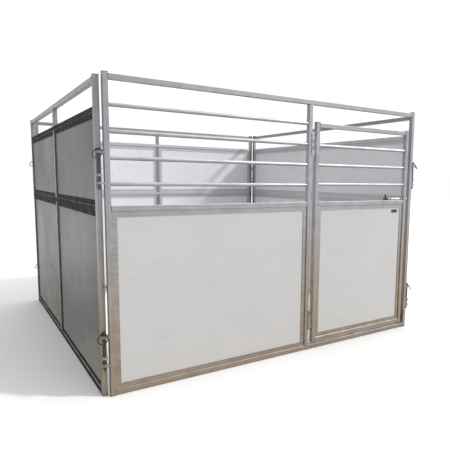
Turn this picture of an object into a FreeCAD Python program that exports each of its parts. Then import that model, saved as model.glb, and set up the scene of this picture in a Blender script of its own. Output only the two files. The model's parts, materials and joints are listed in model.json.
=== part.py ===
"""Portable horse stall: four aluminium tube panels with white infill sheets, pinned at the corners.

The front panel carries a grille and a hinged gate; the two sides and the back are plain panels.
Units are millimetres.  +X runs along the front to the right, +Y to the back, +Z up.  The origin
is on the floor at the middle of the whole object's box.
"""

import os

import FreeCAD
import Part
import Sketcher

DIMENSIONS = [
    # tube sections
    ("tube_side", 38), ("tube_wall", 2.5), ("tube_round", 3),
    ("bar_radius", 14), ("bar_wall", 2),
    # infill channels and sheets
    ("channel_depth", 20), ("channel_height", 38), ("channel_wall", 4),
    ("sheet_thick", 12), ("sheet_play", 3),
    # plan of the stall
    ("front_width", 3050), ("side_length", 3050), ("corner_gap", 10), ("corner_step", 2),
    # heights
    ("foot_thick", 4), ("cap_thick", 4), ("cap_plug", 14), ("cap_play", 0.4),
    ("front_post_top", 2196), ("front_rail_top", 2190), ("mid_rail_top", 1329),
    ("plain_post_top", 2178), ("plain_rail_top", 2172), ("upper_rail_top", 1980),
    ("grille_first", 1475), ("grille_pitch", 173),
    # gate
    ("middle_post_left", 181), ("gate_left", 265), ("gate_right", 1450),
    ("gate_low", 60), ("gate_stile_top", 2010), ("gate_rail_top", 2006), ("gate_mid_top", 1329),
    ("gate_bar_first", 1481), ("gate_bar_pitch", 167.5),
    # hinges
    ("hinge_length", 180), ("hinge_low", 185), ("hinge_high", 1735), ("leaf_thick", 4),
    ("leaf_lap", 10), ("gate_leaf_lap", 15), ("barrel_gap", 9), ("barrel_radius", 6.5), ("barrel_bore", 4),
    ("hinge_pin_radius", 3.6), ("hinge_head", 3), ("knuckle_gap", 0.6),
    ("screw_radius", 4), ("screw_head", 1.6),
    # slide bolt
    ("bolt_radius", 10), ("bolt_play", 1.5), ("bolt_rise", 14), ("bolt_length", 335),
    ("bolt_travel", 75), ("guide_thick", 12), ("guide_side", 30), ("guide_one", 1230),
    ("guide_two", 1380), ("knob_radius", 7), ("knob_length", 42), ("keeper_height", 70),
    ("stop_lap", 20),
    # corner lugs and drop pins
    ("lug_radius", 18), ("lug_thick", 16), ("lug_hole", 8), ("lug_in", 19),
    ("pin_high", 1534), ("pin_low", 280), ("lug_above", 150), ("lug_below", 52),
    ("pin_radius", 7), ("pin_tail", 42), ("collar_radius", 12),
    ("collar_thick", 5), ("collar_play", 0.3), ("loop_radius", 36), ("loop_wire", 4),
    ("loop_rise", 13), ("stop_height", 770), ("stop_side", 20),
    # blank plate on the gate
    ("plate_width", 82), ("plate_height", 32), ("plate_thick", 1.5), ("plate_round", 8),
    ("plate_x", 1295), ("plate_z", 1221),
]

X_AXIS = FreeCAD.Vector(1, 0, 0)
Y_AXIS = FreeCAD.Vector(0, 1, 0)
Z_AXIS = FreeCAD.Vector(0, 0, 1)
UPRIGHT = FreeCAD.Rotation()
ALONG_X = FreeCAD.Rotation(Y_AXIS, 90)
FORWARD = FreeCAD.Rotation(X_AXIS, 90)

doc = FreeCAD.newDocument("stall")
sheet = doc.addObject("Spreadsheet::Sheet", "dim")
for row, (alias, value) in enumerate(DIMENSIONS, start=1):
    sheet.set(f"A{row}", alias)
    sheet.set(f"B{row}", str(value))
    sheet.setAlias(f"B{row}", alias)
doc.recompute()

nodes = {}


def size(expression):
    """The value of an expression over the sheet's cells, in millimetres."""
    found = sheet.evalExpression(expression)
    return float(getattr(found, "Value", found))


def at(x, y, z, turn=UPRIGHT):
    return FreeCAD.Placement(FreeCAD.Vector(x, y, z), turn)


def node(label, *pieces):
    """Registers one sub-part: a single object, or several separate solids kept as a group."""
    if len(pieces) == 1:
        item = pieces[0]
    else:
        item = doc.addObject("Part::Compound", label)
        item.Links = list(pieces)
    item.Label = label
    nodes[label] = item
    return item


# ---------------------------------------------------------------- shape helpers


def box(name, length, width, height, placement):
    """A box whose three sizes are expressions over the sheet."""
    item = doc.addObject("Part::Box", name)
    item.setExpression("Length", length)
    item.setExpression("Width", width)
    item.setExpression("Height", height)
    item.Placement = placement
    return item


def cylinder(name, radius, height, placement):
    item = doc.addObject("Part::Cylinder", name)
    item.setExpression("Radius", radius)
    item.setExpression("Height", height)
    item.Placement = placement
    return item


def cut(name, base, tool):
    item = doc.addObject("Part::Cut", name)
    item.Base = base
    item.Tool = tool
    return item


def fuse(name, *pieces):
    item = doc.addObject("Part::MultiFuse", name)
    item.Shapes = list(pieces)
    return item


def new_sketch(body, plane):
    sketch = body.newObject("Sketcher::SketchObject", body.Name + "_profile")
    origin = body.Origin.OriginFeatures
    sketch.AttachmentSupport = [([p for p in origin if p.Role == plane][0], "")]
    sketch.MapMode = "FlatFace"
    return sketch


def outline(sketch, corners):
    """A closed outline of straight lines.  Each corner is a pair of expressions over the sheet."""
    points = [FreeCAD.Vector(size(x), size(y), 0) for x, y in corners]
    first = sketch.GeometryCount
    count = len(points)
    for i in range(count):
        sketch.addGeometry(Part.LineSegment(points[i], points[(i + 1) % count]), False)
    for i in range(count):
        here, after = first + i, first + (i + 1) % count
        sketch.addConstraint(Sketcher.Constraint("Coincident", here, 2, after, 1))
    for i, (x, y) in enumerate(corners):
        for kind, expression, value in (("DistanceX", x, points[i].x), ("DistanceY", y, points[i].y)):
            number = sketch.addConstraint(Sketcher.Constraint(kind, -1, 1, first + i, 1, value))
            sketch.setExpression(f"Constraints[{number}]", expression)


def circle(sketch, radius):
    """A circle round the sketch's origin."""
    curve = Part.Circle(FreeCAD.Vector(), Z_AXIS, size(radius))
    index = sketch.addGeometry(curve, False)
    sketch.addConstraint(Sketcher.Constraint("Coincident", index, 3, -1, 1))
    number = sketch.addConstraint(Sketcher.Constraint("Radius", index, size(radius)))
    sketch.setExpression(f"Constraints[{number}]", radius)


def pad(body, sketch, length):
    feature = body.newObject("PartDesign::Pad", body.Name + "_pad")
    feature.Profile = sketch
    feature.setExpression("Length", length)
    return feature


def square(side):
    """Four corners of a square centred on the sketch's origin."""
    plus, minus = f"({side}) / 2", f"-({side}) / 2"
    return [(minus, minus), (plus, minus), (plus, plus), (minus, plus)]


def square_tube(name, length, placement):
    """Square tube with rounded edges, extruded along its own +Z from its centreline's start."""
    body = doc.addObject("PartDesign::Body", name)
    sketch = new_sketch(body, "XY_Plane")
    outline(sketch, square("dim.tube_side"))
    outline(sketch, square("dim.tube_side - 2 * dim.tube_wall"))
    extrusion = pad(body, sketch, length)
    doc.recompute()
    rounding = body.newObject("PartDesign::Fillet", name + "_edges")
    rounding.Base = (extrusion, outer_edges(extrusion.Shape, size("dim.tube_side") / 2))
    rounding.setExpression("Radius", "dim.tube_round")
    body.Tip = rounding
    body.Placement = placement
    return body


def outer_edges(shape, half):
    """Names of the long edges at the corners of a square section."""
    found = []
    for number, edge in enumerate(shape.Edges, start=1):
        ends = [v.Point for v in edge.Vertexes]
        upright = abs(ends[0].z - ends[-1].z) > 1
        if upright and all(abs(abs(p.x) - half) < 0.01 and abs(abs(p.y) - half) < 0.01 for p in ends):
            found.append(f"Edge{number}")
    return found


def round_bar(name, length, placement):
    body = doc.addObject("PartDesign::Body", name)
    sketch = new_sketch(body, "XY_Plane")
    circle(sketch, "dim.bar_radius")
    circle(sketch, "dim.bar_radius - dim.bar_wall")
    pad(body, sketch, length)
    body.Placement = placement
    return body


def channel(name, length, placement):
    """U-channel along its own +Z, its base on the local Y = 0 plane and its mouth towards +Y."""
    half, wall = "dim.channel_depth / 2", "dim.channel_wall"
    inner = f"({half} - {wall})"
    body = doc.addObject("PartDesign::Body", name)
    sketch = new_sketch(body, "XY_Plane")
    outline(sketch, [
        (f"-{half}", "0"), (half, "0"), (half, "dim.channel_height"),
        (inner, "dim.channel_height"), (inner, wall), (f"-{inner}", wall),
        (f"-{inner}", "dim.channel_height"), (f"-{half}", "dim.channel_height"),
    ])
    pad(body, sketch, length)
    body.Placement = placement
    return body


# ---------------------------------------------------------------- places worked out from the sheet

TUBE = size("dim.tube_side")
HALF_TUBE = TUBE / 2
HALF = size("dim.front_width / 2")
SIDE = size("dim.side_length")
STEP = size("dim.corner_step")
FRONT = -(SIDE + 2 * STEP + 2 * TUBE) / 2
FRONT_MID = FRONT + HALF_TUBE
SIDE_START = FRONT + TUBE + STEP
SIDE_END = SIDE_START + SIDE
BACK_MID = SIDE_END + STEP + HALF_TUBE
SIDE_MID = HALF + size("dim.corner_gap") + HALF_TUBE
FOOT = size("dim.foot_thick")
MID_LEFT = size("dim.middle_post_left")
GATE_LEFT = size("dim.gate_left")
GATE_RIGHT = size("dim.gate_right")
GATE_LOW = size("dim.gate_low")
MID_AXIS = size("dim.mid_rail_top") - HALF_TUBE
LOW_AXIS = FOOT + HALF_TUBE
PANEL_SPAN = "dim.front_width - 2 * dim.tube_side"
SIDE_SPAN = "dim.side_length - 2 * dim.tube_side"
CHANNEL_Z = size("dim.channel_height")



def frame_turn(along, mouth):
    """The turn that takes local +Z to a run's direction and local +Y to a channel's mouth."""
    return FreeCAD.Rotation(mouth.cross(along), mouth, along, "ZYX")


def upright(name, x, y, length):
    """A post standing on its foot cap."""
    return square_tube(name, length, at(x, y, FOOT))


def level(name, start, length, turn):
    return square_tube(name, length, FreeCAD.Placement(start, turn))


def channel_ring(name, run, low, high, first, last, middle):
    """Four channels round a sheet.  run is the panel's direction; first and last are its ends."""
    width = last - first
    spot = FreeCAD.Vector(middle)
    start, end = spot + run * first, spot + run * last
    bottom = FreeCAD.Vector(start.x, start.y, low)
    top = FreeCAD.Vector(start.x, start.y, high)
    lower_left = FreeCAD.Vector(start.x, start.y, low + CHANNEL_Z)
    lower_right = FreeCAD.Vector(end.x, end.y, low + CHANNEL_Z)
    tall = f"{high - low} - 2 * dim.channel_height"
    wide = f"{width}"
    pieces = [
        channel(name + "_low", wide, FreeCAD.Placement(bottom, frame_turn(run, Z_AXIS))),
        channel(name + "_top", wide, FreeCAD.Placement(top, frame_turn(run, -Z_AXIS))),
        channel(name + "_near", tall, FreeCAD.Placement(lower_left, frame_turn(Z_AXIS, run))),
        channel(name + "_far", tall, FreeCAD.Placement(lower_right, frame_turn(Z_AXIS, -run))),
    ]
    return pieces


def infill(name, run, low, high, first, last, middle):
    """A plain sheet that fills its four channels to their floors, less the play."""
    deep = "(dim.channel_wall + dim.sheet_play)"
    inset = size(deep)
    spot = FreeCAD.Vector(middle)
    start = spot + run * (first + inset)
    across = Z_AXIS.cross(run)
    corner = start - across * size("dim.sheet_thick / 2")
    corner.z = low + inset
    turn = FreeCAD.Rotation(run, across, Z_AXIS, "ZXY")
    return box(
        name, f"{last - first} - 2 * {deep}", "dim.sheet_thick", f"{high - low} - 2 * {deep}",
        FreeCAD.Placement(corner, turn),
    )


def cap_at(name, x, y, z, flip):
    """A plastic end cap: a square lid on a plug that fits inside the tube."""
    lid_height = "dim.foot_thick" if flip else "dim.cap_thick"
    body = doc.addObject("PartDesign::Body", name)
    lid = new_sketch(body, "XY_Plane")
    outline(lid, square("dim.tube_side"))
    pad(body, lid, lid_height)
    plug = new_sketch(body, "XY_Plane")
    outline(plug, square("dim.tube_side - 2 * dim.tube_wall - 2 * dim.cap_play"))
    feature = pad(body, plug, "dim.cap_plug")
    feature.Reversed = True
    body.Placement = at(x, y, z, FreeCAD.Rotation(X_AXIS, 180) if flip else UPRIGHT)
    return body


# ---------------------------------------------------------------- the three plain panels


def plain_panel(side, run, middle, half_span):
    """One plain panel.  run is its direction and middle the middle of its foot line."""
    turn = frame_turn(run, Z_AXIS)
    inner_half = half_span - TUBE
    span = "dim.side_length - 2 * dim.tube_side" if side != "back" else PANEL_SPAN
    post_length = "dim.plain_post_top - dim.foot_thick"

    def spot(along, z):
        place = middle + run * along
        return FreeCAD.Vector(place.x, place.y, z)

    ends = []
    for tag, along in (("near", HALF_TUBE - half_span), ("far", half_span - HALF_TUBE)):
        place = spot(along, 0)
        ends.append(upright(f"{side}_post_{tag}", place.x, place.y, post_length))
    node(f"{side}_posts", *ends)

    top_axis = size("dim.plain_rail_top") - HALF_TUBE
    upper_axis = size("dim.upper_rail_top") - HALF_TUBE
    node(f"{side}_top_rail", level(f"{side}_top", spot(-inner_half, top_axis), span, turn))
    node(
        f"{side}_inner_rails",
        level(f"{side}_upper", spot(-inner_half, upper_axis), span, turn),
        level(f"{side}_middle", spot(-inner_half, MID_AXIS), span, turn),
    )
    node(f"{side}_bottom_rail", level(f"{side}_low", spot(-inner_half, LOW_AXIS), span, turn))

    gaps = [(LOW_AXIS, MID_AXIS), (MID_AXIS, upper_axis), (upper_axis, top_axis)]
    studs = []
    for number, (below, above) in enumerate(gaps, start=1):
        place = spot(0, below + HALF_TUBE)
        length = f"{above - below} - dim.tube_side"
        studs.append(square_tube(f"{side}_stud_{number}", length, FreeCAD.Placement(place, UPRIGHT)))
    node(f"{side}_mid_posts", *studs)

    rings, sheets = [], []
    for row, (below, above) in enumerate(gaps[:2], start=1):
        for column, (first, last) in enumerate(
            ((-inner_half, -HALF_TUBE), (HALF_TUBE, inner_half)), start=1
        ):
            name = f"{side}_{row}{column}"
            window = (run, below + HALF_TUBE, above - HALF_TUBE, first, last, middle)
            rings += channel_ring(name + "_channel", *window)
            sheets.append(infill(name + "_sheet", *window))
    node(f"{side}_channels", *rings)
    node(f"{side}_sheets", *sheets)


SIDE_CENTRE = (SIDE_START + SIDE_END) / 2
plain_panel("left", Y_AXIS, FreeCAD.Vector(-SIDE_MID, SIDE_CENTRE, 0), SIDE / 2)
plain_panel("right", Y_AXIS, FreeCAD.Vector(SIDE_MID, SIDE_CENTRE, 0), SIDE / 2)
plain_panel("back", X_AXIS, FreeCAD.Vector(0, BACK_MID, 0), HALF)

# ---------------------------------------------------------------- the front panel

X_TURN = frame_turn(X_AXIS, Z_AXIS)
FRONT_LINE = FreeCAD.Vector(0, FRONT_MID, 0)
TOP_AXIS = size("dim.front_rail_top") - HALF_TUBE
INNER = HALF - TUBE
POST_LENGTH = "dim.front_post_top - dim.foot_thick"
node("front_post_left", upright("post_left", HALF_TUBE - HALF, FRONT_MID, POST_LENGTH))
right_post = upright("post_right_tube", HALF - HALF_TUBE, FRONT_MID, POST_LENGTH)
top_start = FreeCAD.Vector(-INNER, FRONT_MID, TOP_AXIS)
node("front_top_rail", level("front_top", top_start, PANEL_SPAN, X_TURN))
low_start = FreeCAD.Vector(-INNER, FRONT_MID, LOW_AXIS)
node("front_bottom_rail", level("front_low", low_start, PANEL_SPAN, X_TURN))
middle_foot = FreeCAD.Placement(
    FreeCAD.Vector(MID_LEFT + HALF_TUBE, FRONT_MID, LOW_AXIS + HALF_TUBE), UPRIGHT
)
node(
    "front_middle_post",
    square_tube(
        "middle_post", "dim.front_rail_top - 2 * dim.tube_side - dim.foot_thick", middle_foot
    ),
)
GRILLE_SPAN = "dim.front_width / 2 - dim.tube_side + dim.middle_post_left"
mid_start = FreeCAD.Vector(-INNER, FRONT_MID, MID_AXIS)
node("front_mid_rail", level("front_middle", mid_start, GRILLE_SPAN, X_TURN))
bars = []
for number in range(4):
    height = size("dim.grille_first") + number * size("dim.grille_pitch")
    start = FreeCAD.Vector(-INNER, FRONT_MID, height)
    bars.append(round_bar(f"front_bar_{number + 1}", GRILLE_SPAN, FreeCAD.Placement(start, X_TURN)))
node("front_bars", *bars)
window = (X_AXIS, LOW_AXIS + HALF_TUBE, MID_AXIS - HALF_TUBE, -INNER, MID_LEFT, FRONT_LINE)
node("front_channels", *channel_ring("front_channel", *window))
node("front_sheet", infill("front_infill", *window))

# ---------------------------------------------------------------- the gate

GATE_SPAN = "dim.gate_right - dim.gate_left - 2 * dim.tube_side"
GATE_INNER = GATE_LEFT + TUBE
GATE_FAR = GATE_RIGHT - TUBE
GATE_MID_AXIS = size("dim.gate_mid_top") - HALF_TUBE
STILE_LENGTH = "dim.gate_stile_top - dim.gate_low"
BOLT_Z = size("dim.gate_mid_top + dim.bolt_rise")


def stile(name, left):
    return square_tube(name, STILE_LENGTH, at(left + HALF_TUBE, FRONT_MID, GATE_LOW))


def gate_level(name, height):
    return level(name, FreeCAD.Vector(GATE_INNER, FRONT_MID, height), GATE_SPAN, X_TURN)


node("gate_hinge_stile", stile("hinge_stile", GATE_LEFT))
bolt_hole = cylinder(
    "bolt_hole", "dim.bolt_radius + dim.bolt_play", "2 * dim.tube_side",
    at(GATE_FAR - HALF_TUBE, FRONT_MID, BOLT_Z, ALONG_X),
)
node("gate_latch_stile", cut("latch_stile", stile("latch_stile_tube", GATE_FAR), bolt_hole))
node("gate_top_rail", gate_level("gate_top", size("dim.gate_rail_top") - HALF_TUBE))
node("gate_mid_rail", gate_level("gate_middle", GATE_MID_AXIS))
node("gate_bottom_rail", gate_level("gate_bottom", GATE_LOW + HALF_TUBE))
bars = []
for number in range(3):
    height = size("dim.gate_bar_first") + number * size("dim.gate_bar_pitch")
    start = FreeCAD.Vector(GATE_INNER, FRONT_MID, height)
    bars.append(round_bar(f"gate_bar_{number + 1}", GATE_SPAN, FreeCAD.Placement(start, X_TURN)))
node("gate_bars", *bars)
window = (X_AXIS, GATE_LOW + TUBE, GATE_MID_AXIS - HALF_TUBE, GATE_INNER, GATE_FAR, FRONT_LINE)
node("gate_channels", *channel_ring("gate_channel", *window))
node("gate_sheet", infill("gate_infill", *window))

plate = doc.addObject("PartDesign::Body", "plate")
plate_sketch = new_sketch(plate, "XZ_Plane")
half_w, half_h = "dim.plate_width / 2", "dim.plate_height / 2"
outline(plate_sketch, [(f"-{half_w}", f"-{half_h}"), (half_w, f"-{half_h}"), (half_w, half_h),
                       (f"-{half_w}", half_h)])
plate_pad = pad(plate, plate_sketch, "dim.plate_thick")
doc.recompute()
corner_edges = [
    f"Edge{number}" for number, edge in enumerate(plate_pad.Shape.Edges, start=1)
    if abs(edge.Vertexes[0].Point.y - edge.Vertexes[-1].Point.y) > 0.5
]
plate_round = plate.newObject("PartDesign::Fillet", "plate_corners")
plate_round.Base = (plate_pad, corner_edges)
plate_round.setExpression("Radius", "dim.plate_round")
plate.Tip = plate_round
plate.Placement = at(
    size("dim.plate_x"), FRONT_MID - size("dim.sheet_thick / 2"), size("dim.plate_z")
)
node("gate_plate", plate)

# ---------------------------------------------------------------- hinges

AXIS_X = GATE_LEFT - size("dim.barrel_gap")
AXIS_Y = FRONT - size("dim.barrel_radius")
LOWS = [size("dim.hinge_low"), size("dim.hinge_high")]
THIRD = size("dim.hinge_length") / 3


def knuckle(name, low):
    """One tube of the barrel round the hinge's axis, a third of its length."""
    length = "dim.hinge_length / 3 - dim.knuckle_gap"
    start = at(AXIS_X, AXIS_Y, low + size("dim.knuckle_gap / 2"))
    outer = cylinder(name + "_outer", "dim.barrel_radius", length, start)
    bore = cylinder(name + "_bore", "dim.barrel_bore", length, start)
    return cut(name, outer, bore)


def leaf(name, left, reach, low):
    """A flat piece of a leaf, in line with the tubes' front faces and as tall as one knuckle."""
    length = "dim.hinge_length / 3 - dim.knuckle_gap"
    start = at(left, FRONT - size("dim.leaf_thick"), low + size("dim.knuckle_gap / 2"))
    return box(name, reach, "dim.leaf_thick", length, start)


def screw(name, placement):
    return cylinder(name, "dim.screw_radius", "dim.screw_head", placement)


post_leaves, gate_leaves, hinge_pins, screws, gate_screws = [], [], [], [], []
for number, low in enumerate(LOWS, start=1):
    name = f"hinge_{number}"
    pin_start = at(AXIS_X, AXIS_Y, low - size("dim.hinge_head"))
    shank = cylinder(
        name + "_shank", "dim.hinge_pin_radius", "dim.hinge_length + 2 * dim.hinge_head", pin_start
    )
    heads = [
        cylinder(f"{name}_head_{end}", "dim.barrel_radius - 0.5", "dim.hinge_head",
                 at(AXIS_X, AXIS_Y, place))
        for end, place in enumerate((low - size("dim.hinge_head"), low + 3 * THIRD), start=1)
    ]
    hinge_pins.append(fuse(name + "_pin", shank, *heads))

    # the post's leaf is one plate across the gap, with a knuckle at each end of the barrel
    plate_left = MID_LEFT + TUBE - size("dim.leaf_lap")
    web_left = AXIS_X - size("dim.barrel_radius") - 1
    front = FRONT - size("dim.leaf_thick")
    parts = [
        box(name + "_plate", f"{web_left - plate_left}", "dim.leaf_thick", "dim.hinge_length",
            at(plate_left, front, low))
    ]
    for part, place in enumerate((low, low + 2 * THIRD), start=1):
        parts.append(leaf(f"{name}_web_{part}", web_left, f"{AXIS_X - web_left}", place))
        parts.append(knuckle(f"{name}_roll_{part}", place))
    trim = cylinder(name + "_trim", "dim.barrel_bore", "dim.hinge_length", at(AXIS_X, AXIS_Y, low))
    post_leaves.append(cut(name + "_post", fuse(name + "_raw", *parts), trim))

    wing = leaf(name + "_gate_wing", AXIS_X, "dim.barrel_gap + dim.gate_leaf_lap", low + THIRD)
    roll = knuckle(name + "_gate_roll", low + THIRD)
    trim = cylinder(name + "_gate_trim", "dim.barrel_bore", "dim.hinge_length",
                    at(AXIS_X, AXIS_Y, low))
    gate_leaves.append(cut(name + "_gate", fuse(name + "_gate_raw", wing, roll), trim))

    for share in (0.12, 0.5, 0.88):
        place = at(MID_LEFT + TUBE - size("dim.leaf_lap / 2"), front, low + share * 3 * THIRD, FORWARD)
        screws.append(screw(f"{name}_screw_{len(screws) + 1}", place))
    for share in (0.4, 0.6):
        place = at(GATE_LEFT + size("dim.gate_leaf_lap / 2"), front, low + share * 3 * THIRD, FORWARD)
        gate_screws.append(screw(f"{name}_gate_screw_{len(gate_screws) + 1}", place))
node("hinge_post_leaves", *post_leaves)
node("hinge_gate_leaves", *gate_leaves)
node("hinge_pins", *hinge_pins)
node("hinge_post_screws", *screws)
node("hinge_gate_screws", *gate_screws)

# ---------------------------------------------------------------- the slide bolt

TRAVEL = size("dim.bolt_travel")
BOLT_END = HALF - TUBE - 5
BOLT_START = BOLT_END - size("dim.bolt_length")
guides = []
for number, place in enumerate((size("dim.guide_one"), size("dim.guide_two")), start=1):
    block = box(
        f"guide_block_{number}", "dim.guide_thick", "dim.guide_side", "dim.guide_side",
        at(place, FRONT_MID - size("dim.guide_side / 2"), size("dim.gate_mid_top")),
    )
    hole = cylinder(
        f"guide_hole_{number}", "dim.bolt_radius + dim.bolt_play", "2 * dim.guide_thick",
        at(place - size("dim.guide_thick / 2"), FRONT_MID, BOLT_Z, ALONG_X),
    )
    guides.append(cut(f"guide_{number}", block, hole))
node("bolt_guides", *guides)
bolt_rod = cylinder(
    "bolt_rod", "dim.bolt_radius", "dim.bolt_length", at(BOLT_START, FRONT_MID, BOLT_Z, ALONG_X)
)
bolt_stem = cylinder(
    "bolt_stem", "dim.knob_radius", "dim.knob_length",
    at(BOLT_START + 20, FRONT_MID, BOLT_Z, UPRIGHT),
)
node("latch_bolt", fuse("bolt", bolt_rod, bolt_stem))

keeper_hole = cylinder(
    "keeper_hole", "dim.bolt_radius + dim.bolt_play", "dim.tube_side",
    at(HALF - TUBE - HALF_TUBE, FRONT_MID, BOLT_Z, ALONG_X),
)
node("front_post_right", cut("post_right", right_post, keeper_hole))
STOP_SPAN = "dim.front_width / 2 - dim.gate_right + dim.stop_lap - 5"
stop_z = LOW_AXIS + TUBE
stop_foot = box("stop_foot", "dim.tube_side - 10", "dim.leaf_thick", "dim.keeper_height",
                at(HALF - TUBE + 5, FRONT + TUBE, stop_z))
stop_tab = box("stop_tab", STOP_SPAN, "dim.leaf_thick", "dim.keeper_height",
               at(GATE_RIGHT - size("dim.stop_lap"), FRONT + TUBE + 1, stop_z))
node("gate_stop", fuse("stop", stop_foot, stop_tab))

# ---------------------------------------------------------------- caps

top_z = size("dim.front_post_top")
plain_z = size("dim.plain_post_top")
stile_z = size("dim.gate_stile_top")
front_places = [(HALF_TUBE - HALF, FRONT_MID), (HALF - HALF_TUBE, FRONT_MID)]
plain_places = [(x, BACK_MID) for x, _ in front_places]
for x in (-SIDE_MID, SIDE_MID):
    plain_places += [(x, SIDE_START + HALF_TUBE), (x, SIDE_END - HALF_TUBE)]
caps, feet = [], []
for places, z in ((front_places, top_z), (plain_places, plain_z)):
    for x, y in places:
        caps.append(cap_at(f"cap_{len(caps) + 1}", x, y, z, False))
        feet.append(cap_at(f"foot_{len(feet) + 1}", x, y, FOOT, True))
node("post_caps", *caps)
node("post_feet", *feet)
stile_caps = []
for x in (GATE_LEFT + HALF_TUBE, GATE_RIGHT - HALF_TUBE):
    stile_caps.append(cap_at(f"stile_cap_{len(stile_caps) + 1}", x, FRONT_MID, stile_z, False))
    stile_caps.append(cap_at(f"stile_foot_{len(stile_caps) + 1}", x, FRONT_MID, GATE_LOW, True))
node("gate_caps", *stile_caps)

# ---------------------------------------------------------------- corner lugs and drop pins

LUG_HALF = size("dim.lug_thick / 2")
LUG_R = size("dim.lug_radius")
LUG_OUT = SIDE_MID - HALF
CORNERS = {
    "front_left": (-SIDE_MID, FRONT_MID, 1, 1),
    "front_right": (SIDE_MID, FRONT_MID, -1, 1),
    "back_left": (-SIDE_MID, BACK_MID, 1, -1),
    "back_right": (SIDE_MID, BACK_MID, -1, -1),
}
SIDE_GAP = SIDE_START - FRONT_MID


def lug(name, x, y, z, toward_x, toward_y):
    """A lug round a pin's axis, with a neck running to the post it is welded to."""
    low = z - LUG_HALF
    boss = cylinder(name + "_boss", "dim.lug_radius", "dim.lug_thick", at(x, y, low))
    if toward_x:
        left = x if toward_x > 0 else x - LUG_OUT
        neck = box(name + "_neck", f"{LUG_OUT}", "2 * dim.lug_in - 2", "dim.lug_thick",
                   at(left, y - size("dim.lug_in - 1"), low))
    else:
        front = y if toward_y > 0 else y - SIDE_GAP
        neck = box(name + "_neck", "2 * dim.lug_in - 2", f"{SIDE_GAP}", "dim.lug_thick",
                   at(x - size("dim.lug_in - 1"), front, low))
    hole = cylinder(name + "_hole", "dim.lug_hole", "dim.lug_thick", at(x, y, low))
    return cut(name, fuse(name + "_solid", boss, neck), hole)


def drop_pin(name, x, y, z, out_x, out_y):
    """A pin resting on the top lug: rod, collar and a wire ring that leans outwards."""
    top = z + size("dim.lug_above") + LUG_HALF + size("dim.collar_play")
    bottom = z - size("dim.lug_below") - size("dim.pin_tail")
    rod = cylinder(name + "_rod", "dim.pin_radius", f"{top - bottom} + dim.loop_rise + 6", at(x, y, bottom))
    collar = cylinder(name + "_collar", "dim.collar_radius", "dim.collar_thick", at(x, y, top))
    ring = doc.addObject("Part::Torus", name + "_ring")
    ring.setExpression("Radius1", "dim.loop_radius")
    ring.setExpression("Radius2", "dim.loop_wire")
    outward = FreeCAD.Vector(out_x, out_y, 0).normalize()
    lean = (outward * 0.55 + Z_AXIS * -0.83).normalize()
    normal = lean.cross(Z_AXIS.cross(outward)).normalize()
    centre = FreeCAD.Vector(x, y, top + size("dim.loop_rise")) + lean * size("dim.loop_radius")
    ring.Placement = FreeCAD.Placement(centre, FreeCAD.Rotation(Z_AXIS, normal))
    return fuse(name, rod, collar, ring)


spacers, frame_lugs, side_lugs = [], [], []
for corner, (x, y, to_x, to_y) in CORNERS.items():
    for level_name, height in (("upper", size("dim.pin_high")), ("lower", size("dim.pin_low"))):
        base = f"{corner}_{level_name}"
        for tag, z in (("a", height + size("dim.lug_above")), ("b", height - size("dim.lug_below"))):
            frame_lugs.append(lug(f"{base}_{tag}", x, y, z, to_x, 0))
        side_lugs.append(lug(f"{base}_c", x, y, height, 0, to_y))
        node(f"pin_{base}", drop_pin(f"{base}_pin", x, y, height, -to_x, -to_y))
    block = size("dim.stop_side")
    block_x = -HALF - block if to_x > 0 else HALF
    block_y = SIDE_START - block if to_y > 0 else SIDE_END
    spacers.append(
        box(f"{corner}_spacer", "dim.stop_side", "dim.stop_side", "dim.stop_side",
            at(block_x, block_y, size("dim.stop_height")))
    )
node("corner_lugs", *frame_lugs, *side_lugs)
node("corner_spacers", *spacers)

# ---------------------------------------------------------------- check and export

doc.recompute()
for item in doc.Objects:
    if "Invalid" in item.State or "Error" in item.State:
        raise RuntimeError(f"{item.Label} did not compute: {item.State}")
for label, item in nodes.items():
    if item.Shape.isNull() or not item.Shape.isValid():
        raise RuntimeError(f"{label} has no valid shape")

os.makedirs("parts", exist_ok=True)
for label, item in nodes.items():
    item.Shape.exportStep(f"parts/{label}.step")
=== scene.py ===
"""Portable horse stall: materials, welds, rivets, floor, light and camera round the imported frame."""

import json
import math
import random

import bmesh
import bpy
from mathutils import Matrix, Vector


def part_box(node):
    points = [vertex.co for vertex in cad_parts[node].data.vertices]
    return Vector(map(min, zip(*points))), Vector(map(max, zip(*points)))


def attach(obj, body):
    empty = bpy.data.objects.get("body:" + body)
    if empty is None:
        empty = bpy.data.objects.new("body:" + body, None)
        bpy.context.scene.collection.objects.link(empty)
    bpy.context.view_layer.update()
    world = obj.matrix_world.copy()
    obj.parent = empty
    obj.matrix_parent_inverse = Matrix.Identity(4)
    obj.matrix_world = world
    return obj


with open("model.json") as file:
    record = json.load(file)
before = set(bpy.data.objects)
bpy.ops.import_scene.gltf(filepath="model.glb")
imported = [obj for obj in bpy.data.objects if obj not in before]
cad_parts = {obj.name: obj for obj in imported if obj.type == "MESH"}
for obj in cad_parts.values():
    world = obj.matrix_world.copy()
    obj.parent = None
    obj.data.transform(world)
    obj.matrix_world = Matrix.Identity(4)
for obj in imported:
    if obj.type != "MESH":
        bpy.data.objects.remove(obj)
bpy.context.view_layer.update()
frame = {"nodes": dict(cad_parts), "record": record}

scene = bpy.context.scene
nodes = frame["nodes"]
random.seed(7)

X, Y, Z = 0, 1, 2
AXES = (Vector((1, 0, 0)), Vector((0, 1, 0)), Vector((0, 0, 1)))
WALLS = {"left": Y, "right": Y, "back": X}

# ---------------------------------------------------------------- camera

EYE_LEFT = 0.815
EYE_BACK = 3.152
EYE_HEIGHT = 1.518
YAW = math.radians(33.42)
PITCH = math.radians(6.89)
ROLL = math.radians(0.70)
SENSOR = 36
LENS = 37.17
SHIFT = (-0.088, 0.0236)

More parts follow.
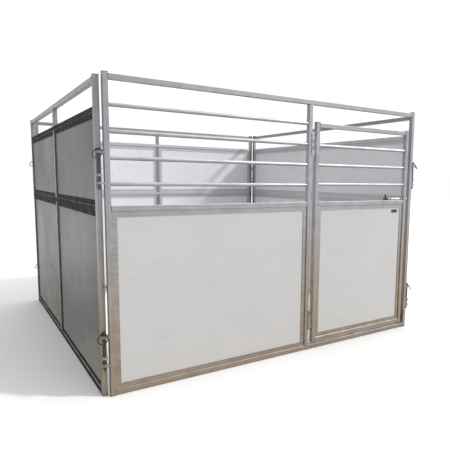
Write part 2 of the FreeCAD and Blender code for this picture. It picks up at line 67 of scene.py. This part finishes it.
front_low, front_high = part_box("front_post_left")
eye = Vector((front_low.x - EYE_LEFT, front_low.y - EYE_BACK, EYE_HEIGHT))
forward = Vector((
    math.sin(YAW) * math.cos(PITCH),
    math.cos(YAW) * math.cos(PITCH),
    -math.sin(PITCH),
))
level_right = Vector((math.cos(YAW), -math.sin(YAW), 0))
level_up = level_right.cross(forward)
cam_right = math.cos(ROLL) * level_right + math.sin(ROLL) * level_up
cam_up = cam_right.cross(forward)
camera = bpy.data.objects.new("camera", bpy.data.cameras.new("camera"))
scene.collection.objects.link(camera)
camera.data.sensor_width = SENSOR
camera.data.lens = LENS
camera.data.shift_x, camera.data.shift_y = SHIFT
turn = Matrix((cam_right, cam_up, -forward)).transposed().to_4x4()
camera.matrix_world = Matrix.Translation(eye) @ turn
scene.camera = camera

# ---------------------------------------------------------------- material building


class Look:
    """A node material under construction, with short calls for the nodes used here."""

    def __init__(self, name):
        self.material = bpy.data.materials.new(name)
        self.material.use_nodes = True
        self.tree = self.material.node_tree
        self.shader = self.tree.nodes["Principled BSDF"]
        self.place = self.tree.nodes.new("ShaderNodeTexCoord").outputs["Object"]

    def link(self, source, target):
        self.tree.links.new(source, target)

    def stretch(self, scale):
        node = self.tree.nodes.new("ShaderNodeMapping")
        node.inputs["Scale"].default_value = scale
        self.link(self.place, node.inputs["Vector"])
        return node.outputs["Vector"]

    def noise(self, size, detail=3.0, scale=(1, 1, 1), rough=0.5):
        node = self.tree.nodes.new("ShaderNodeTexNoise")
        node.inputs["Scale"].default_value = 1 / size
        node.inputs["Detail"].default_value = detail
        node.inputs["Roughness"].default_value = rough
        self.link(self.stretch(scale), node.inputs["Vector"])
        return node.outputs["Fac"]

    def cells(self, size):
        node = self.tree.nodes.new("ShaderNodeTexVoronoi")
        node.inputs["Scale"].default_value = 1 / size
        self.link(self.place, node.inputs["Vector"])
        return node.outputs["Color"]

    def facing(self, axis, low, high):
        """0 on faces whose normal's share along an axis is below low, 1 above high."""
        split = self.tree.nodes.new("ShaderNodeSeparateXYZ")
        normal = self.tree.nodes.new("ShaderNodeNewGeometry").outputs["Normal"]
        self.link(normal, split.inputs[0])
        return self.remap(split.outputs[axis], low, high, 0, 1)

    def height(self, low, high):
        """0 below low and 1 above high, in metres above the floor, with a ragged edge."""
        split = self.tree.nodes.new("ShaderNodeSeparateXYZ")
        self.link(self.place, split.inputs[0])
        wander = self.math("MULTIPLY_ADD", self.noise(0.35), 0.5, split.outputs["Z"])
        return self.remap(wander, low + 0.25, high + 0.25, 0, 1)

    def math(self, kind, *values):
        node = self.tree.nodes.new("ShaderNodeMath")
        node.operation = kind
        for socket, value in zip(node.inputs, values):
            if isinstance(value, (int, float)):
                socket.default_value = value
            else:
                self.link(value, socket)
        return node.outputs[0]

    def remap(self, value, low, high, new_low, new_high):
        node = self.tree.nodes.new("ShaderNodeMapRange")
        self.link(value, node.inputs["Value"])
        for name, number in zip(("From Min", "From Max", "To Min", "To Max"),
                                (low, high, new_low, new_high)):
            node.inputs[name].default_value = number
        return node.outputs["Result"]

    def mix(self, amount, first, second, kind="MIX"):
        node = self.tree.nodes.new("ShaderNodeMix")
        node.data_type = "RGBA"
        node.blend_type = kind
        for socket, value in ((node.inputs[0], amount), (node.inputs[6], first),
                              (node.inputs[7], second)):
            if isinstance(value, (int, float)):
                socket.default_value = value
            elif isinstance(value, tuple):
                socket.default_value = (*value, 1)
            else:
                self.link(value, socket)
        return node.outputs[2]

    def bump(self, value, depth, strength=1.0):
        node = self.tree.nodes.new("ShaderNodeBump")
        node.inputs["Distance"].default_value = depth
        node.inputs["Strength"].default_value = strength
        self.link(value, node.inputs["Height"])
        self.link(node.outputs["Normal"], self.shader.inputs["Normal"])

    def finish(self, colour, roughness, metallic=0.0, coat=0.0):
        self.link(colour, self.shader.inputs["Base Color"])
        self.link(roughness, self.shader.inputs["Roughness"])
        self.shader.inputs["Metallic"].default_value = metallic
        self.shader.inputs["Coat Weight"].default_value = coat
        return self.material


COOL = (0.40, 0.415, 0.44)
COOL_DARK = (0.26, 0.275, 0.30)
# Pale colour painted on as a highlight on faces that look up, and as painted light on the inner faces
# of the walls.
PAINTED_HIGHLIGHT = (0.74, 0.75, 0.77)
# Warm tan: dust low down, and a painted reflection of the brown ground on faces that look down.
WARM_DUST_AND_REFLECTION = (0.32, 0.265, 0.205)
WARM_DUST_AND_REFLECTION_DARK = (0.20, 0.158, 0.115)


def aluminium(name, along, outside=None):
    """Mill aluminium with draw lines along one axis, dull oxide patches and dust low down, a painted
    highlight on up-facing faces and a warm painted reflection of the ground on down-facing faces.

    outside is the axis and sign of a wall's outer face, which is darkened almost to black as painted
    shade, while the inner face is lifted towards the highlight colour as painted light.
    """
    look = Look(name)
    if along is None:
        lines = [12.0, 12.0, 12.0]
    else:
        lines = [60.0, 60.0, 60.0]
        lines[along] = 0.8
    streak = look.noise(1.0, 4.0, tuple(lines), 0.6)
    patch = look.noise(0.12, 5.0)
    dusty = look.math("SUBTRACT", 1.0, look.height(0.45, 1.55))
    # Painted reflection: faces that look down take the warm tone as if they reflected the ground
    # below; faces that look up are kept clear of it.
    under = look.math("MULTIPLY", look.math("SUBTRACT", 1.0, look.facing(Z, -0.75, 0.1)), 0.9)
    dust_and_reflection = look.math("MAXIMUM", dusty, under)
    dust_and_reflection = look.math("MULTIPLY", dust_and_reflection, look.math("SUBTRACT", 1.0, look.facing(Z, 0.3, 0.9)))
    # Painted highlight: faces that look up are lightened towards the pale highlight colour.
    bright = look.mix(dust_and_reflection, look.mix(look.facing(Z, 0.5, 0.95), COOL, PAINTED_HIGHLIGHT), WARM_DUST_AND_REFLECTION)
    dull = look.mix(dust_and_reflection, COOL_DARK, WARM_DUST_AND_REFLECTION_DARK)
    drawn = look.remap(streak, 0.35, 0.7, 0, 0.45)
    worn = look.math("ADD", drawn, look.remap(patch, 0.4, 0.7, 0, 0.4))
    colour = look.mix(worn, bright, dull)
    spots = look.remap(look.noise(0.018, 2.0), 0.66, 0.74, 0, 0.35)
    colour = look.mix(spots, colour, (0.30, 0.29, 0.27))
    if outside:
        axis, sign = outside
        # Painted shade: the wall's outer faces are darkened almost to black, with slight patchy
        # variation.
        outer = look.facing(axis, 0.2 * sign, 0.8 * sign)
        painted_shade = look.math("MULTIPLY", outer, look.remap(patch, 0.35, 0.65, 0.93, 0.985))
        # Painted light: the wall's inner faces are lifted halfway towards the pale highlight colour.
        inner = look.facing(axis, -0.2 * sign, -0.8 * sign)
        colour = look.mix(look.math("MULTIPLY", inner, 0.5), colour, PAINTED_HIGHLIGHT)
        colour = look.mix(painted_shade, colour, (0.016, 0.013, 0.013))
    roughness = look.remap(streak, 0.3, 0.7, 0.34, 0.52)
    look.bump(streak, 0.0004, 0.5)
    if outside:
        roughness = look.math("MULTIPLY_ADD", painted_shade, 0.3, roughness)
        dull_skin = look.math("MAXIMUM", painted_shade, look.math("MULTIPLY", inner, 0.7))
        bare = look.math("MULTIPLY", look.math("SUBTRACT", 1.0, dull_skin), 0.78)
        look.link(bare, look.shader.inputs["Metallic"])
        gloss = look.remap(painted_shade, 0, 1, 0.5, 0.06)
        look.link(gloss, look.shader.inputs["Specular IOR Level"])
    return look.finish(colour, roughness, metallic=0.78)


def white_sheet(name, tint, outside=None, outer_shade=None):
    """Gloss board: faint waviness, rub marks, fine scratches and splash dust at the foot.

    outside is the axis and sign of the wall's outer face, which takes the darker outer colour as
    painted shade.
    """
    look = Look(name)
    cloud = look.noise(0.6, 3.0)
    rub = look.remap(look.noise(0.16, 6.0, (0.5, 0.5, 1), 0.65), 0.56, 0.76, 0, 0.14)
    scratch = look.remap(look.noise(0.03, 2.0, (0.2, 0.2, 2.4)), 0.71, 0.74, 0, 0.18)
    fleck = look.remap(look.noise(0.011, 1.0), 0.76, 0.78, 0, 0.4)
    base = look.mix(cloud, tint, tuple(c * 0.93 for c in tint))
    if outside:
        axis, sign = outside
        # Painted shade: the wall's outer face takes the dark outer colour.
        base = look.mix(look.facing(axis, 0.2 * sign, 0.8 * sign), base, outer_shade)
    base = look.mix(rub, base, (0.55, 0.55, 0.56), "MULTIPLY")
    base = look.mix(scratch, base, (0.45, 0.45, 0.46), "MULTIPLY")
    base = look.mix(fleck, base, (0.45, 0.42, 0.38))
    low = look.remap(look.height(0.05, 0.42), 0, 1, 0.30, 0)
    base = look.mix(low, base, (0.55, 0.50, 0.43))
    rubbed = look.math("MULTIPLY", rub, 0.6)
    roughness = look.math("ADD", look.remap(cloud, 0.3, 0.7, 0.16, 0.26), rubbed)
    look.bump(look.noise(0.45, 2.0), 0.004, 0.35)
    if outside:
        roughness = look.math("ADD", roughness, 0.14)
        look.shader.inputs["Specular IOR Level"].default_value = 0.18
    return look.finish(base, roughness, coat=0.0 if outside else 0.2)


def zinc_steel(name, skin, grip=None):
    """Galvanised steel: small spangle and dark stains, browned by dust low down.

    grip is a pair of places along X between which bare metal fades into a blackened handle.
    """
    look = Look(name)
    spangle = look.cells(0.006)
    low = look.remap(look.height(0.45, 1.55), 0, 1, 0.85, 0)
    aged = look.mix(low, skin, tuple(c * share for c, share in zip(skin, (0.62, 0.49, 0.36))))
    grey = look.mix(0.25, aged, spangle, "SOFT_LIGHT")
    stain = look.remap(look.noise(0.02, 4.0), 0.5, 0.68, 0, 0.7)
    colour = look.mix(stain, grey, (0.06, 0.045, 0.034))
    if grip:
        split = look.tree.nodes.new("ShaderNodeSeparateXYZ")
        look.link(look.place, split.inputs[0])
        black = look.remap(split.outputs["X"], grip[0], grip[1], 1, 0)
        colour = look.mix(black, colour, (0.02, 0.018, 0.017))
    roughness = look.remap(look.noise(0.01, 3.0), 0.3, 0.7, 0.30, 0.50)
    look.bump(look.noise(0.004, 2.0), 0.0003, 0.4)
    return look.finish(colour, roughness, metallic=0.85)


def black_plastic(name, base):
    """Moulded black plastic, scuffed grey and dusty."""
    look = Look(name)
    scuff = look.remap(look.noise(0.012, 5.0), 0.55, 0.75, 0, 0.35)
    colour = look.mix(scuff, base, (0.12, 0.115, 0.11))
    roughness = look.remap(look.noise(0.006, 3.0), 0.3, 0.7, 0.42, 0.62)
    look.bump(look.noise(0.0012, 2.0), 0.0002, 0.5)
    return look.finish(colour, roughness)


def weld_metal(name):
    """Bright weld metal with a darker smoke edge; the dark is partly soot and partly painted shade, so
    the stitch welds stand in for the shadow gaps along the seams.
    """
    look = Look(name)
    # Dark patches: smoke soot, and painted shade so that the stitch welds stand in for the shadow gaps
    # along the seams.
    soot_and_gap_shade = look.remap(look.noise(0.02, 4.0), 0.38, 0.62, 0, 0.9)
    colour = look.mix(soot_and_gap_shade, (0.30, 0.29, 0.28), (0.045, 0.04, 0.036))
    roughness = look.remap(look.noise(0.003, 2.0), 0.3, 0.7, 0.30, 0.55)
    look.bump(look.noise(0.002, 2.0), 0.0004, 0.6)
    return look.finish(colour, roughness, metallic=0.85)


OUTSIDE = {"left": (X, -1), "right": (X, 1), "back": (Y, 1)}
# Parts of the plain walls that get painted shade on their outer faces and painted light on their inner
# faces.
SHADED_WALL_PARTS = ("inner_rails", "channels", "bottom_rail")
FRONT_TINT = (0.485, 0.478, 0.475)
WALL_TINT = (0.81, 0.825, 0.85)
# Dark grey painted shade for the outer faces of the plain wall sheets.
WALL_OUTER_SHADE = (0.105, 0.102, 0.10)
WALL_SHEETS = {
    wall: white_sheet(f"sheet_{wall}", WALL_TINT, side, WALL_OUTER_SHADE)
    for wall, side in OUTSIDE.items()
}
WALL_METAL = {
    (wall, along): aluminium(f"aluminium_{wall}_{along}", along, side)
    for wall, side in OUTSIDE.items() for along in (WALLS[wall], None)
}
TUBES = {
    X: aluminium("aluminium_x", X),
    Y: aluminium("aluminium_y", Y),
    Z: aluminium("aluminium_z", Z),
    None: aluminium("aluminium_plain", None),
}
SHEET = white_sheet("sheet_front", FRONT_TINT)
STEEL = zinc_steel("steel_zinc", (0.42, 0.43, 0.44))
DARK_STEEL = zinc_steel("steel_dark", (0.10, 0.10, 0.10))
GRIP_LENGTH = 0.055
GRIP_FADE = 0.004
grip_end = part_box("latch_bolt")[0].x + GRIP_LENGTH
BOLT_STEEL = zinc_steel("steel_bolt", (0.62, 0.63, 0.64), (grip_end, grip_end + GRIP_FADE))
CAP = black_plastic("cap_black", (0.012, 0.012, 0.013))
BADGE = black_plastic("plate_dark", (0.03, 0.03, 0.034))
WELD = weld_metal("weld_metal")

# ---------------------------------------------------------------- solids of the frame


def solids(node):
    """The boxes, low corner and high corner, of the separate solids in one CAD node."""
    mesh = nodes[node].data
    keys = [tuple(round(c, 5) for c in v.co) for v in mesh.vertices]
    parent = {key: key for key in keys}

    def top(key):
        while parent[key] != key:
            parent[key] = parent[parent[key]]
            key = parent[key]
        return key

    for polygon in mesh.polygons:
        first = keys[polygon.vertices[0]]
        for index in polygon.vertices[1:]:
            parent[top(keys[index])] = top(first)
    groups = {}
    for key in parent:
        groups.setdefault(top(key), []).append(key)
    found = []
    for points in groups.values():
        low = Vector([min(p[i] for p in points) for i in range(3)])
        high = Vector([max(p[i] for p in points) for i in range(3)])
        found.append((low, high))
    return sorted(found, key=lambda pair: tuple(pair[0]))


def longest(low, high):
    size = high - low
    return max(range(3), key=lambda i: size[i])


for entry in frame["record"]["subparts"]:
    name, slot = entry["node"], entry["material_slot"]
    wall, _, part = name.partition("_")
    if slot == "tube":
        runs = {longest(*pair) for pair in solids(name)}
        along = runs.pop() if len(runs) == 1 else None
        material = WALL_METAL[wall, along] if wall in WALLS and part in SHADED_WALL_PARTS else TUBES[along]
    elif slot == "sheet" and wall in WALLS:
        material = WALL_SHEETS[wall]
    else:
        material = {"sheet": SHEET, "cap": CAP, "steel": STEEL, "badge": BADGE}[slot]
    if wall == "pin" or name == "hinge_pins":
        material = DARK_STEEL
    elif name == "latch_bolt":
        material = BOLT_STEEL
    mesh = nodes[name].data
    mesh.materials.clear()
    mesh.materials.append(material)

# ---------------------------------------------------------------- welds

BEAD_RADIUS = 0.0022
BEAD_SIDES = 6
BEAD_INSET = 0.0006
RIPPLE_STEP = 0.0035
CORNER_CUT = 0.003


def add_bead(bm, points, radius, closed):
    """A lumpy tube along a line of points: weld metal with its ripples."""
    count = len(points)
    rings = []
    for i, point in enumerate(points):
        after = points[(i + 1) % count] if closed or i + 1 < count else point
        before = points[i - 1] if closed or i else point
        run = (after - before).normalized()
        side = run.orthogonal().normalized()
        other = run.cross(side)
        swell = radius * random.uniform(0.84, 1.16) * (1.12 if i % 2 else 0.9)
        if not closed and i in (0, count - 1):
            swell *= 0.3
        ring = []
        for k in range(BEAD_SIDES):
            angle = 2 * math.pi * k / BEAD_SIDES
            arm = side * math.cos(angle) + other * math.sin(angle)
            ring.append(bm.verts.new(point + arm * swell))
        rings.append(ring)
    last = count if closed else count - 1
    for i in range(last):
        first, second = rings[i], rings[(i + 1) % count]
        offset = nearest_turn(first[0].co - points[i], second, points[(i + 1) % count])
        for k in range(BEAD_SIDES):
            n = (k + 1) % BEAD_SIDES
            bm.faces.new((
                first[k], first[n],
                second[(n + offset) % BEAD_SIDES], second[(k + offset) % BEAD_SIDES],
            ))
    if not closed:
        bm.faces.new(list(reversed(rings[0])))
        bm.faces.new(rings[-1])


def nearest_turn(arm, ring, centre):
    """How many places to turn the next ring so that it lines up with this one."""
    return max(range(BEAD_SIDES), key=lambda k: (ring[k].co - centre).dot(arm))


def line_points(start, end):
    steps = max(3, round((end - start).length / RIPPLE_STEP))
    return [start.lerp(end, i / steps) for i in range(steps + 1)]


def square_loop(low, high, axis, place):
    """Points round a rail's section where it meets a post."""
    a, b = [i for i in range(3) if i != axis]
    cut = CORNER_CUT
    outline = [
        (low[a] + cut, low[b]), (high[a] - cut, low[b]), (high[a], low[b] + cut),
        (high[a], high[b] - cut), (high[a] - cut, high[b]), (low[a] + cut, high[b]),
        (low[a], high[b] - cut), (low[a], low[b] + cut),
    ]
    corners = []
    for p, q in outline:
        corner = Vector((0, 0, 0))
        corner[a], corner[b], corner[axis] = p, q, place
        corners.append(corner)
    points = []
    for i, corner in enumerate(corners):
        points += line_points(corner, corners[(i + 1) % len(corners)])[:-1]
    return points


def round_loop(low, high, axis, place):
    """Points round a bar's section where it meets a post."""
    a, b = [i for i in range(3) if i != axis]
    middle = (low + high) / 2
    radius = (high[b] - low[b]) / 2
    count = 2 * round(math.pi * radius / RIPPLE_STEP)
    points = []
    for i in range(count):
        angle = 2 * math.pi * i / count
        point = Vector((0, 0, 0))
        point[axis] = place
        point[a] = middle[a] + radius * math.cos(angle)
        point[b] = middle[b] + radius * math.sin(angle)
        points.append(point)
    return points


def finish_piece(name, bm, body, material):
    bmesh.ops.recalc_face_normals(bm, faces=bm.faces)
    mesh = bpy.data.meshes.new(name)
    bm.to_mesh(mesh)
    bm.free()
    for polygon in mesh.polygons:
        polygon.use_smooth = True
    mesh.materials.append(material)
    piece = bpy.data.objects.new(name, mesh)
    scene.collection.objects.link(piece)
    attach(piece, body)


def weld_ends(bm, node, loop):
    """A bead round both ends of every solid in a node."""
    for low, high in solids(node):
        axis = longest(low, high)
        for place in (low[axis] + BEAD_INSET, high[axis] - BEAD_INSET):
            add_bead(bm, loop(low, high, axis, place), BEAD_RADIUS, True)


def frame_welds(square_nodes, round_nodes):
    """A mesh with a bead round every joint of the listed square and round tubes."""
    bm = bmesh.new()
    for node in square_nodes:
        weld_ends(bm, node, square_loop)
    for node in round_nodes:
        weld_ends(bm, node, round_loop)
    return bm


STITCH_SHARES = (0.03, 0.38, 0.77, 0.97)
STITCH_LENGTH = 0.05
STITCH_OUT = 0.0105
STITCH_RADIUS = 0.0026


def stitch_rail(bm, rail, under):
    """Short stitch welds where a channel is tacked under a rail, or on top of it."""
    low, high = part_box(rail)
    height = low.z if under else high.z
    middle = (low.y + high.y) / 2
    for share in STITCH_SHARES:
        start = low.x + (high.x - low.x - STITCH_LENGTH) * share
        for y in (middle - STITCH_OUT, middle + STITCH_OUT):
            ends = (Vector((x, y, height)) for x in (start, start + STITCH_LENGTH))
            add_bead(bm, line_points(*ends), STITCH_RADIUS, False)


stall_welds = frame_welds(
    ["front_top_rail", "front_mid_rail", "front_bottom_rail", "front_middle_post"],
    ["front_bars"],
)
stitch_rail(stall_welds, "front_mid_rail", True)
stitch_rail(stall_welds, "front_bottom_rail", False)
finish_piece("front_welds", stall_welds, "stall", WELD)
for wall in WALLS:
    parts = ("top_rail", "inner_rails", "bottom_rail", "mid_posts")
    wall_welds = frame_welds([f"{wall}_{part}" for part in parts], [])
    finish_piece(f"{wall}_welds", wall_welds, "stall", WELD)
gate_welds = frame_welds(["gate_top_rail", "gate_mid_rail", "gate_bottom_rail"], ["gate_bars"])
stitch_rail(gate_welds, "gate_mid_rail", True)
stitch_rail(gate_welds, "gate_bottom_rail", False)
finish_piece("gate_welds", gate_welds, "gate", WELD)

# ---------------------------------------------------------------- rivets

RIVET_RADIUS = 0.0042
RIVET_HEIGHT = 0.0018
RIVET_PITCH = 0.245
RIVET_RINGS = 4
RIVET_SIDES = 12


def add_dome(bm, base, outward, radius, height):
    """A shallow domed head on a surface."""
    side = outward.orthogonal().normalized()
    other = outward.cross(side)
    rings = []
    for r in range(RIVET_RINGS):
        lift = math.sin(r / RIVET_RINGS * math.pi / 2)
        reach = math.cos(r / RIVET_RINGS * math.pi / 2)
        ring = []
        for k in range(RIVET_SIDES):
            angle = 2 * math.pi * k / RIVET_SIDES
            arm = side * math.cos(angle) + other * math.sin(angle)
            ring.append(bm.verts.new(base + arm * radius * reach + outward * height * lift))
        rings.append(ring)
    crown = bm.verts.new(base + outward * height)
    for first, second in zip(rings, rings[1:]):
        for k in range(RIVET_SIDES):
            n = (k + 1) % RIVET_SIDES
            bm.faces.new((first[k], first[n], second[n], second[k]))
    for k in range(RIVET_SIDES):
        bm.faces.new((rings[-1][k], rings[-1][(k + 1) % RIVET_SIDES], crown))
    bm.faces.new(list(reversed(rings[0])))


def channel_rows(node):
    """The level channels of one panel: every solid that is longer than it is tall."""
    return [pair for pair in solids(node) if longest(*pair) != Z]


def wall_rivets(wall, along):
    """A row of rivets on both faces of each level channel of one wall."""
    bm = bmesh.new()
    across = X if along == Y else Y
    for low, high in channel_rows(f"{wall}_channels"):
        count = max(3, round((high[along] - low[along]) / RIVET_PITCH))
        height = (low.z + high.z) / 2
        for i in range(count + 1):
            share = (i + 0.3) / (count + 0.6)
            for face, sign in ((low[across], -1), (high[across], 1)):
                base = Vector((0, 0, height))
                base[along] = low[along] + (high[along] - low[along]) * share
                base[across] = face
                add_dome(bm, base, AXES[across] * sign, RIVET_RADIUS, RIVET_HEIGHT)
    finish_piece(f"{wall}_rivets", bm, "stall", STEEL)


for wall, run in WALLS.items():
    wall_rivets(wall, run)

# ---------------------------------------------------------------- floor and light

FLOOR_SPAN = 60
floor_mesh = bpy.data.meshes.new("floor")
reach = FLOOR_SPAN / 2
corners = [(-reach, -reach, 0), (reach, -reach, 0), (reach, reach, 0), (-reach, reach, 0)]
floor_mesh.from_pydata(corners, [], [(0, 1, 2, 3)])
floor = bpy.data.objects.new("floor", floor_mesh)
scene.collection.objects.link(floor)
floor_look = Look("floor_pale")
grain = floor_look.noise(0.5, 4.0)
floor_colour = floor_look.mix(grain, (0.88, 0.88, 0.88), (0.92, 0.92, 0.92))
floor_mesh.materials.append(
    floor_look.finish(floor_colour, floor_look.remap(grain, 0, 1, 0.75, 0.85))
)

SUN_TRAVEL = Vector((-1.0, 0.7, -0.9))
SUN_STRENGTH = 2.0
SUN_SPREAD = math.radians(5)
SKY_FACING = (0.8, 0.4, 0.45)
SKY_DARK = (0.30, 0.30, 0.305, 1)
SKY_BRIGHT = (1.0, 1.0, 1.0, 1)
SKY_TOP = 0.45
SKY_FADE = (-0.35, 0.43)

sun = bpy.data.objects.new("sun", bpy.data.lights.new("sun", "SUN"))
sun.data.energy = SUN_STRENGTH
sun.data.angle = SUN_SPREAD
sun.rotation_euler = SUN_TRAVEL.to_track_quat("-Z", "Y").to_euler()
scene.collection.objects.link(sun)

world = bpy.data.worlds.new("sky")
scene.world = world
world.use_nodes = True
sky = world.node_tree
direction = sky.nodes.new("ShaderNodeTexCoord").outputs["Generated"]
facing = sky.nodes.new("ShaderNodeVectorMath")
facing.operation = "DOT_PRODUCT"
facing.inputs[1].default_value = SKY_FACING
sky.links.new(direction, facing.inputs[0])
ramp = sky.nodes.new("ShaderNodeMapRange")
ramp.interpolation_type = "SMOOTHSTEP"
ramp.inputs["From Min"].default_value, ramp.inputs["From Max"].default_value = SKY_FADE
sky.links.new(facing.outputs["Value"], ramp.inputs["Value"])
blend = sky.nodes.new("ShaderNodeMix")
blend.data_type = "RGBA"
blend.inputs[6].default_value = SKY_DARK
blend.inputs[7].default_value = SKY_BRIGHT
sky.links.new(ramp.outputs["Result"], blend.inputs[0])
sky.links.new(blend.outputs[2], sky.nodes["Background"].inputs["Color"])
split = sky.nodes.new("ShaderNodeSeparateXYZ")
sky.links.new(direction, split.inputs[0])
rise = sky.nodes.new("ShaderNodeMapRange")
rise.inputs["To Min"].default_value = 1.0
rise.inputs["To Max"].default_value = 1.0 + SKY_TOP
sky.links.new(split.outputs["Z"], rise.inputs["Value"])
sky.links.new(rise.outputs["Result"], sky.nodes["Background"].inputs["Strength"])
scene.view_settings.view_transform = "Standard"
